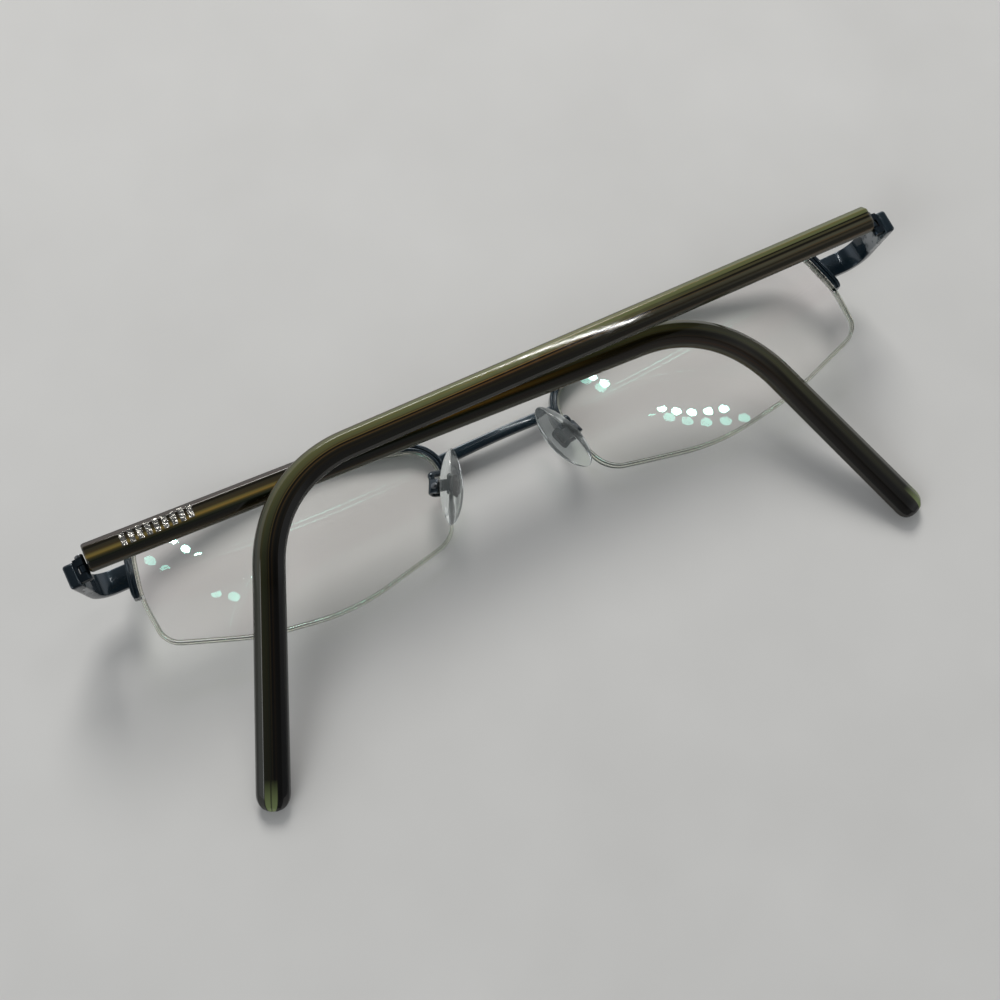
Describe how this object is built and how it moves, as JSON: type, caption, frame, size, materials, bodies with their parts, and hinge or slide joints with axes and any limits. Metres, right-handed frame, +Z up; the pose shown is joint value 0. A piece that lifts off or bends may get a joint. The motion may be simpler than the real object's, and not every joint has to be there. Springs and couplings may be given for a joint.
{
  "type": "half-rim eyeglasses",
  "caption": "Half-rim eyeglasses lying folded and face down: lacquered brow rims, lenses held by nylon cords, rocking nose pads and hinged temples with bent ear tips.",
  "frame": {"origin": "centre of the footprint, on the table that the folded glasses lie on", "axes": "+X across the front towards the wearer's right side as seen from behind, +Y from the lower lens edge to the brow, +Z up from the table, from the front towards the wearer"},
  "size_m": [0.13, 0.046, 0.0206],
  "materials": {
    "lacquer": "dark petrol-blue lacquer, worn at the endpiece edges",
    "steel": "plain metal, slightly dull",
    "lens": "clear with a green anti-reflection coating",
    "nylon": "clear nylon, slightly yellowed",
    "acetate": "laminated dark brown, black and olive, polished",
    "silicone": "clear silicone, slightly grey"
  },
  "bodies": {
    "front": {"bridge": "lacquer", "left_rim": "lacquer", "right_rim": "lacquer", "left_rim_liner": "nylon", "right_rim_liner": "nylon", "left_lens": "lens", "right_lens": "lens", "left_lens_cord": "nylon", "right_lens_cord": "nylon", "left_endpiece": "lacquer", "right_endpiece": "lacquer", "left_front_hinge": "steel", "right_front_hinge": "steel", "left_hinge_screw": "steel", "right_hinge_screw": "steel", "left_pad_arm": "lacquer", "right_pad_arm": "lacquer", "left_pad_screw": "steel", "right_pad_screw": "steel"},
    "left_temple": {"left_temple": "acetate", "left_temple_hinge": "steel", "left_temple_bars": "steel"},
    "right_temple": {"right_temple": "acetate", "right_temple_hinge": "steel"},
    "left_pad": {"left_nose_pad": "silicone", "left_pad_insert": "steel"},
    "right_pad": {"right_nose_pad": "silicone", "right_pad_insert": "steel"}
  },
  "joints": [
    {"name": "left_temple_hinge", "type": "hinge", "parent": "front", "child": "left_temple", "pos_m": [-0.06236, 0.01658, 0.0165], "axis": [0, -1, 0], "range_deg": [0, 92.9]},
    {"name": "right_temple_hinge", "type": "hinge", "parent": "front", "child": "right_temple", "pos_m": [0.06236, 0.01658, 0.0165], "axis": [0, 1, 0], "range_deg": [0, 88.9]},
    {"name": "left_pad_rock", "type": "hinge", "parent": "front", "child": "left_pad", "pos_m": [-0.01266, 0.0102, 0.00493], "axis": [-0.4027, 0.2096, 0.891], "range_deg": [-6, 6]},
    {"name": "right_pad_rock", "type": "hinge", "parent": "front", "child": "right_pad", "pos_m": [0.00941, 0.00983, 0.00493], "axis": [0.4353, 0.1289, 0.891], "range_deg": [-6, 6]}
  ]
}
